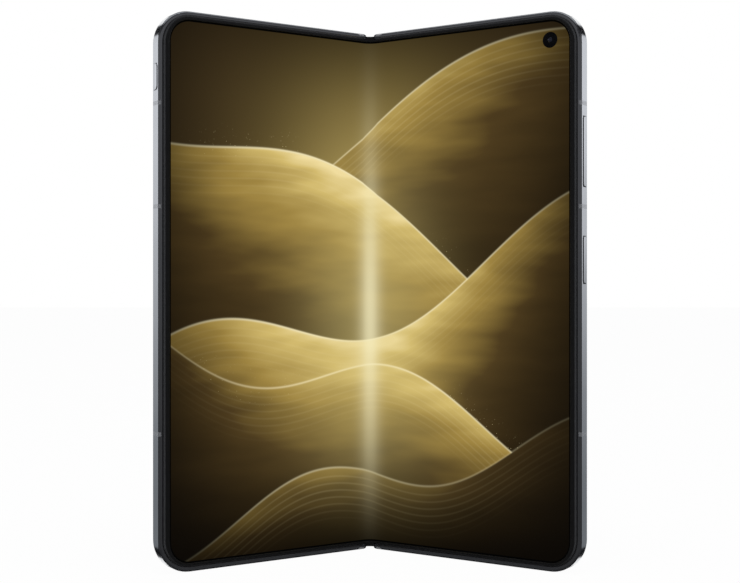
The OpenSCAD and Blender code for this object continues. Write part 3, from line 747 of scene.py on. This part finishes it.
# ---- Alert slider ----
# A three-place slider near the top of the left rail. Its flat, pill-shaped cap
# slides over the rail and hides the recess that its knob runs in.
cap_half_l, cap_half_w = 0.00385, 0.00130
cap_gap, cap_rise, cap_edge = 0.00003, 0.00020, 0.0001
knob_sink, knob_rise = 0.00035, 0.0001
stem_half = 0.0004


def add_block(shape, side, low, high):
    """Adds a block between two corners given as x, depth and z."""
    rings = []
    for z in (low[2], high[2]):
        spots = [(low[0], low[1]), (high[0], low[1]), (high[0], high[1]), (low[0], high[1])]
        rings.append([shape.verts.new(on_half(side, x, depth, z)) for x, depth in spots])
    bridge(shape, rings)


def slider_shape(shape):
    """The cap, the knob below it in the recess, and the stem down to the switch."""
    low, high = half_box("alert_slider", LEFT)
    _, mid_y, mid_z = half_centre("alert_slider", LEFT)
    cap_low = (0.0, mid_y - cap_half_w, mid_z - cap_half_l)
    cap_high = (0.0, mid_y + cap_half_w, mid_z + cap_half_l)
    profile = pill_profile(half_w + cap_gap, half_w + cap_rise, cap_edge)
    pill_shape(LEFT, cap_low, cap_high, profile)(shape)
    knob_low = (half_w - knob_sink, low[1], low[2])
    add_block(shape, LEFT, knob_low, (half_w + knob_rise, high[1], high[2]))
    stem_low = (low[0], mid_y - stem_half, mid_z - 2 * stem_half)
    stem_high = (half_w - knob_sink + 0.00005, mid_y + stem_half, mid_z + 2 * stem_half)
    add_block(shape, LEFT, stem_low, stem_high)


slider_cap = new_piece("slider_cap", slider_shape, "alert_slider", "alert_slider")
sharp_by_angle(slider_cap, 35)
key_metal.coat(slider_cap)

# ---- Card tray ----
# The tray slides out of the bottom rail. It is the frame's metal, with a small
# round hole for the pin that releases it.
pin_black = Finish("pin_black", Roughness=0.6)
soot = pin_black.noise(3000.0, 2.0)
pin_black.feed(Base_Color=pin_black.blend(soot, (0.002, 0.002, 0.002), (0.006, 0.006, 0.006)))
key_metal.coat(frame["nodes"]["card_tray"])
low, high = half_box("card_tray", RIGHT)
pin_x, pin_y, pin_z = low[0] + 0.0013, (low[1] + high[1]) / 2, low[2]
pin_r, pin_rim, pin_lip, pin_depth = 0.0004, 0.0001, 0.00002, 0.0003
pin_profile = [
    (pin_r + pin_rim, pin_z), (pin_r + pin_rim, pin_z - pin_lip),
    (pin_r, pin_z - pin_lip), (pin_r, pin_z + pin_depth),
]


def pin_hole_shape(shape):
    """A round lip and hole that point down; the profile lists radius and height."""
    rings = []
    for r, z in pin_profile:
        spots = [(pin_x + r * math.cos(a), pin_y + r * math.sin(a)) for a in round_angles(32)]
        rings.append([shape.verts.new(on_half(RIGHT, x, depth, z)) for x, depth in spots])
    bridge(shape, rings)


pin_hole = new_piece("tray_pin_hole", pin_hole_shape, "card_tray")
sharp_by_angle(pin_hole, 30)
pin_black.coat(pin_hole)

# ---- Charging socket ----
# A drawn steel shell with rounded ends stands in the bottom rail round a thin
# tongue, which carries a row of gilt contacts on each face.
contact_count, contact_pitch = 12, 0.0005
contact_w, contact_t = 0.00026, 0.00003
contact_low, contact_high = 0.0017, 0.0048
tongue_half_t = 0.00035
shell_steel = polished("shell_steel", (0.42, 0.43, 0.45), (0.52, 0.53, 0.55), 0.22, 0.000005)
shell_steel.coat(frame["nodes"]["usb_port"])
gilt = polished("contact_gilt", (0.72, 0.50, 0.18), (0.80, 0.58, 0.24), 0.25, 0.000003)
socket_x, socket_y, _ = half_centre("usb_port", RIGHT)


def contact_rows(shape):
    for way in (-1, 1):
        face = socket_y + way * tongue_half_t
        near, far = sorted((face, face + way * contact_t))
        for i in range(contact_count):
            x = socket_x + (i - (contact_count - 1) / 2) * contact_pitch
            low = (x - contact_w / 2, near, contact_low)
            add_block(shape, RIGHT, low, (x + contact_w / 2, far, contact_high))


contacts = new_piece("socket_contacts", contact_rows, "right_half")
for face in contacts.data.polygons:
    face.use_smooth = False
gilt.coat(contacts)

# ---- Hinge cover ----
# A spine of brushed metal closes the back of the hinge. The halves turn round
# its two long rounded edges.
cover_metal = Finish("spine_metal", Metallic=1.0)
grain = cover_metal.noise(1.0, 3.0, cover_metal.stretched((3000.0, 3000.0, 60.0)))
cloud = cover_metal.noise(60.0, 3.0)
cover_metal.feed(
    Base_Color=cover_metal.blend(cloud, (0.34, 0.36, 0.40), (0.42, 0.44, 0.48)),
    Roughness=0.24 + 0.12 * grain + 0.05 * cloud,
)
cover_metal.bump(grain, 0.2, 0.00001)
cover_metal.coat(frame["nodes"]["hinge_cover"])

# ---- Rear cover ----
# The half with the cameras has a back of etched dark glass, matt with a fine
# sparkle, let in flush inside the rail.
etched = Finish("etched_glass", Coat_Weight=0.15, Coat_Roughness=0.25)
sparkle = etched.noise(6000.0, 2.0)
drift = etched.noise(25.0, 3.0)
etched.feed(
    Base_Color=etched.blend(drift, (0.018, 0.021, 0.020), (0.026, 0.030, 0.029)),
    Roughness=0.34 + 0.14 * sparkle,
)
etched.bump(sparkle, 0.12, 0.000006)
etched.coat(frame["nodes"]["rear_cover"])

# ---- Cover display ----
# The other back is a sheet of polished black glass over a second display, which
# is off. A camera looks through it at the top, under a slit for the earpiece.
pane = Finish("cover_pane", Coat_Weight=0.4)
smear = pane.noise(45.0, 4.0)
pane.feed(
    Base_Color=pane.blend(smear, (0.004, 0.004, 0.005), (0.007, 0.007, 0.009)),
    Roughness=0.04 + 0.05 * smear,
)
pane.coat(*[frame["nodes"][n] for n in ("cover_glass", "cover_display")])
pane_y = half_box("cover_glass", LEFT)[1][1]
eye_x, _, eye_z = half_centre("cover_camera", LEFT)
eye_r, pupil_r = 0.00185, 0.0010
eye_foot, eye_top = pane_y - 0.0001, pane_y + 0.00002
eye_profile = [
    (eye_r, eye_foot), (eye_r, eye_top),
    (eye_r - 0.00035, eye_top), (eye_r - 0.00045, eye_top - 0.00006),
]
eye_rim = new_piece(
    "cover_camera_rim", turned_shape(LEFT, eye_x, eye_z, eye_profile), "left_half",
)
sharp_by_angle(eye_rim, 30)
black_glass.coat(eye_rim, frame["nodes"]["cover_camera"])
pupil_profile = [(pupil_r, eye_foot)] + dome(pupil_r, rise=0.00007, depth=pane_y - 0.00005)
eye_lens = new_piece(
    "cover_camera_lens", turned_shape(LEFT, eye_x, eye_z, pupil_profile, steps=40), "left_half",
)
lens_coating.coat(eye_lens)
bar_count, bar_pitch, bar_w = 40, 0.00028, 0.0002
bar_low, bar_high = phone_h - 0.00155, phone_h - 0.00125
earpiece_x = half_centre("earpiece", LEFT)[0]


def earpiece_bars(shape):
    """A row of short bars: the fine mesh over the earpiece's slit."""
    for i in range(bar_count):
        x = earpiece_x + (i - (bar_count - 1) / 2) * bar_pitch
        low = (x - bar_w / 2, pane_y - 0.0001, bar_low)
        add_block(shape, LEFT, low, (x + bar_w / 2, pane_y + 0.00001, bar_high))


slit = new_piece("earpiece_mesh", earpiece_bars, "left_half")
pin_black.coat(slit, frame["nodes"]["earpiece"])

# ---- Camera island ----
# A round island on the back carries three cameras and a flash. A polished rim
# with a chamfer holds its dark top, which has a fine turned pattern.
ring_metal = polished("ring_metal", (0.46, 0.48, 0.50), (0.56, 0.58, 0.60), 0.16, 0.000008)
island_x, _, island_z = half_centre("camera_island", RIGHT)
low, high = half_box("camera_island", RIGHT)
island_r, top_y = (high[2] - low[2]) / 2, high[1]
back_y = half_box("rear_cover", RIGHT)[1][1]
rim_w, rim_shelf = 0.0016, 0.0011
rim_foot = back_y - 0.0004
rim_profile = [
    (island_r - rim_w, rim_foot), (island_r - rim_shelf, rim_foot),
    (island_r - rim_shelf, back_y), (island_r, back_y),
    (island_r, top_y - 0.00075), (island_r - 0.00015, top_y - 0.0006),
    (island_r - 0.0006, top_y - 0.00012), (island_r - 0.00075, top_y),
    (island_r - rim_w + 0.0001, top_y), (island_r - rim_w, top_y - 0.0001),
]
rim = new_piece(
    "island_rim",
    turned_shape(RIGHT, island_x, island_z, rim_profile, looped=True, steps=160),
    "right_half", "camera_island",
)
sharp_by_angle(rim, 28)
ring_metal.coat(rim)

groove_turn = 26000.0  # radians a metre
island_glass = Finish("island_glass", Coat_Weight=0.5, Coat_Roughness=0.05)
middle = on_half(RIGHT, island_x, top_y, island_z)
x, y, z = island_glass.parts(island_glass.place())
from_middle = ((x - middle.x) ** 2.0 + (y - middle.y) ** 2.0 + (z - middle.z) ** 2.0).root()
turning = (from_middle * groove_turn).sine() * 0.5 + 0.5
haze = island_glass.noise(80.0, 3.0)
island_glass.feed(
    Base_Color=island_glass.blend(haze, (0.018, 0.020, 0.020), (0.028, 0.031, 0.031)),
    Roughness=0.20 + 0.10 * turning,
)
island_glass.bump(turning, 0.10, 0.000006)
disc_r, disc_y = island_r - rim_w - 0.00002, top_y - 0.00018
disc_profile = [
    (disc_r, back_y - 0.0003), (disc_r, disc_y - 0.00007),
    (disc_r - 0.00018, disc_y), (0.0005, disc_y),
]
disc = new_piece(
    "island_disc",
    turned_shape(RIGHT, island_x, island_z, disc_profile, steps=160),
    "right_half", "camera_island",
)
sharp_by_angle(disc, 28)
island_glass.coat(disc)

# ---- Lenses ----
# Each camera looks out through a coated glass in a stepped ring. Under the
# glass, black rings step down to the front lens.
ring_r, ring_w = 0.0064, 0.0009
low, high = half_box("lens_rings", RIGHT)
ring_y = high[1]
left, right = low[0] + ring_r, high[0] - ring_r
lower, upper = low[2] + ring_r, high[2] - ring_r
lenses = ((left, upper, 0.0021), (right, upper, 0.0018), (left, lower, 0.0015))
ring_foot = disc_y - 0.0002
ring_profile = [
    (ring_r - ring_w, ring_foot), (ring_r, ring_foot), (ring_r, ring_y - 0.00025),
    (ring_r - 0.00010, ring_y - 0.00012), (ring_r - 0.00025, ring_y),
    (ring_r - 0.00060, ring_y), (ring_r - 0.00085, ring_y - 0.00022),
    (ring_r - ring_w, ring_y - 0.0003),
]
well_r, well_y = ring_r - ring_w - 0.00002, ring_y - 0.00032
well_profile = [(well_r, ring_foot), (well_r, well_y)]
for step, share in enumerate((0.86, 0.70, 0.58)):
    well_profile += [
        (share * well_r, well_y - 0.00004 * step),
        (share * well_r - 0.00006, well_y - 0.00012 - 0.00010 * step),
    ]
for number, (x, z, front_r) in enumerate(lenses, 1):
    ring = new_piece(
        f"lens_ring_{number}",
        turned_shape(RIGHT, x, z, ring_profile, looped=True, steps=96),
        "right_half", "lens_rings",
    )
    sharp_by_angle(ring, 28)
    ring_metal.coat(ring)
    well = new_piece(
        f"lens_well_{number}",
        turned_shape(RIGHT, x, z, well_profile + [(front_r, well_y - 0.00046)], steps=96),
        "right_half", "lens_glasses",
    )
    sharp_by_angle(well, 25)
    black_glass.coat(well)
    front_dome = dome(front_r, rise=0.00030, depth=well_y - 0.00047)
    front_profile = [(front_r, well_y - 0.0005)] + front_dome
    front = new_piece(
        f"lens_front_{number}",
        turned_shape(RIGHT, x, z, front_profile, steps=64),
        "right_half", "lens_glasses",
    )
    lens_coating.coat(front)

# ---- Flash ----
# A frosted, slightly yellow window with moulded rings spreads the light of two
# diodes.
frost = Finish("flash_frost", Roughness=0.30, Coat_Weight=0.6)
phosphor = frost.noise(900.0, 2.0)
frost.feed(Base_Color=frost.blend(phosphor, (0.62, 0.56, 0.34), (0.78, 0.74, 0.56)))
flash_r, flash_y = 0.0023, disc_y + 0.00010
ripple_count, ripple_h = 24, 0.00003
flash_profile = [(flash_r, disc_y - 0.0003), (flash_r, flash_y)]
for i in range(ripple_count):
    r = flash_r * (1 - (i + 1) / (ripple_count + 2))
    flash_profile.append((r, flash_y + ripple_h * (i % 2)))
flash = new_piece(
    "flash_window",
    turned_shape(RIGHT, right, lower, flash_profile, steps=64),
    "right_half", "flash",
)
frost.coat(flash)

# ---- Hidden pieces ----
# The boards, batteries, cameras, hinge pieces and springs lie behind the glass
# and show only when the phone is opened up. Each has its own plain finish.


def plain(name, low, high, roughness, *nodes, metallic=0.0):
    """A finish with a little mottling, put on CAD nodes that are shown as they are."""
    made = Finish(name, Metallic=metallic)
    spots = made.noise(600.0, 3.0)
    made.feed(Base_Color=made.blend(spots, low, high), Roughness=roughness + 0.1 * spots)
    made.coat(*[frame["nodes"][n] for n in nodes])


plain(
    "support_steel", (0.30, 0.30, 0.31), (0.38, 0.38, 0.39), 0.35,
    "left_support_plate", "right_support_plate", metallic=1.0,
)
plain(
    "hinge_steel", (0.38, 0.38, 0.40), (0.48, 0.48, 0.50), 0.30,
    "left_arm_upper", "left_arm_middle", "left_arm_lower",
    "right_arm_upper", "right_arm_middle", "right_arm_lower",
    "bracket_upper", "bracket_middle", "bracket_lower",
    "left_screws", "right_screws", "hinge_pins", "hinge_screws", metallic=1.0,
)
plain(
    "gear_bronze", (0.45, 0.30, 0.14), (0.55, 0.38, 0.20), 0.32,
    "left_idler", "right_idler", "friction_springs", metallic=1.0,
)
plain("ribbon_amber", (0.36, 0.19, 0.03), (0.44, 0.25, 0.05), 0.35, "hinge_flex")
plain(
    "solder_mask", (0.012, 0.10, 0.04), (0.02, 0.13, 0.06), 0.35,
    "main_board", "sub_board", "key_switches", "slider_switch",
)
plain(
    "cell_foil", (0.02, 0.02, 0.022), (0.035, 0.035, 0.04), 0.4,
    "left_battery", "right_battery",
)
plain(
    "can_tin", (0.50, 0.50, 0.50), (0.60, 0.60, 0.60), 0.32,
    "screening_cans", "card_reader", metallic=1.0,
)
plain(
    "coil_copper", (0.55, 0.24, 0.08), (0.65, 0.30, 0.12), 0.35,
    "charging_coil", metallic=1.0,
)
plain(
    "motor_shell", (0.45, 0.45, 0.46), (0.55, 0.55, 0.56), 0.3,
    "vibration_motor", metallic=1.0,
)
plain(
    "moulded_black", (0.008, 0.008, 0.009), (0.016, 0.016, 0.018), 0.5,
    "loudspeaker", "wide_camera", "tele_camera", "ultrawide_camera",
)

# ---- Camera view ----
# The phone is seen from straight in front of the fold, at half its height.
view_distance = 0.394
eye = bpy.data.cameras.new("eye")
eye.lens = 61.2
eye.sensor_width = 36.0
eye.clip_start = 0.01
viewer = bpy.data.objects.new("viewer", eye)
viewer.location = (0.0, axis_back - axis_depth - view_distance, phone_h / 2)
viewer.rotation_euler = (math.radians(90), 0, 0)
bpy.context.scene.collection.objects.link(viewer)
bpy.context.scene.camera = viewer

# ---- Studio ----
# A pale floor and a white surround. What metal and glass mirror is darker: two
# tall soft panels behind the phone's sides, brighter towards the top, a dark
# viewer's side, and a pale patch straight above.
floor_half = 6.0
ways = ((-1, -1), (1, -1), (1, 1), (-1, 1))
floor_corners = [(x * floor_half, y * floor_half, 0) for x, y in ways]
floor_mesh = bpy.data.meshes.new("floor")
floor_mesh.from_pydata(floor_corners, [], [(0, 1, 2, 3)])
floor = bpy.data.objects.new("floor", floor_mesh)
bpy.context.scene.collection.objects.link(floor)


def ray_kinds(nodes):
    """1 for rays from the camera, and 1 for rays that were mirrored or let through."""
    ray = nodes.node("ShaderNodeLightPath", {}, {})
    seen, glossy, passed = [
        Wire(nodes, ray.outputs[f"Is {kind} Ray"]) for kind in ("Camera", "Glossy", "Transmission")
    ]
    return seen, (glossy + passed).under(1.0)


pale = Finish(
    "floor_paint", Base_Color=(0.85, 0.85, 0.85, 1), Roughness=0.9, Specular_IOR_Level=0.1,
)
seen, mirrored = ray_kinds(pale)
glow = pale.node("ShaderNodeEmission", {}, {"Color": (1.0, 1.0, 1.0, 1), "Strength": 1.0})
clear = pale.node("ShaderNodeBsdfTransparent", {}, {})
before = pale.shader
for factor, other in ((0.97 * seen, glow), (mirrored, clear)):
    both = pale.node("ShaderNodeMixShader", {}, {0: factor})
    pale.tree.links.new(before.outputs[0], both.inputs[1])
    pale.tree.links.new(other.outputs[0], both.inputs[2])
    before = both
out = next(n for n in pale.tree.nodes if n.type == "OUTPUT_MATERIAL")
pale.tree.links.new(before.outputs[0], out.inputs["Surface"])
pale.coat(floor)

world = bpy.data.worlds.new("surround")
bpy.context.scene.world = world
world.use_nodes = True
surround = Nodes(world.node_tree)
seen, mirrored = ray_kinds(surround)
across, back, up = surround.parts(surround.place("Generated"))
aside, tilt = across.size(), up.size()

# The panels, dimmer low down and straight behind, with dark gaps round them
panel = surround.blend(up.step(-0.17, 0.17), (0.33, 0.35, 0.37), (1.30, 1.32, 1.36))
panel = surround.blend(0.5 * back.step(0.10, 0.90), panel, (0.0, 0.0, 0.0))
past_end = tilt.step(0.30, 0.35) * aside.step(0.50, 0.46)
panel = surround.blend(past_end, panel, (1.1, 1.1, 1.1))
gap = tilt.step(0.32, 0.36) * (aside.step(0.47, 0.50) + aside.step(0.26, 0.21))
gap = gap + tilt.step(0.46, 0.50)
panel = surround.blend(gap.under(1.0), panel, (0.012, 0.012, 0.014))
backdrop = surround.blend(back.step(0.90, 0.95), panel, (0.22, 0.23, 0.24))

# The viewer's side, darker high up and low down, and the patch straight above
front = surround.blend(up.step(-0.2, 0.2), (0.045, 0.045, 0.047), (0.11, 0.11, 0.115))
front = surround.blend(up.step(0.35, 0.60) + up.step(-0.45, -0.70), front, (0.03, 0.03, 0.032))
studio = surround.blend(back.step(-0.12, 0.20), front, backdrop)
studio = surround.blend(up.step(0.76, 0.86), studio, (0.42, 0.43, 0.45))

# Matt surfaces get a plain grey light, and the camera sees white
tone = surround.blend(mirrored, (0.45, 0.46, 0.48), studio)
tone = surround.blend(seen, tone, (1.0, 1.0, 1.0))
sky = next(n for n in surround.tree.nodes if n.type == "BACKGROUND")
surround.tree.links.new(tone.socket, sky.inputs["Color"])

light = bpy.data.lights.new("lamp_top", "AREA")
light.shape = "RECTANGLE"
light.size, light.size_y, light.energy = 0.8, 0.5, 6.0
lamp = bpy.data.objects.new("lamp_top", light)
lamp.location = (0.0, -0.35, 1.10)
to_phone = Vector((0.0, 0.0, phone_h / 2)) - lamp.location
lamp.rotation_euler = to_phone.to_track_quat("-Z", "Y").to_euler()
lamp.visible_glossy = False
bpy.context.scene.collection.objects.link(lamp)
bpy.context.scene.view_settings.view_transform = "Standard"
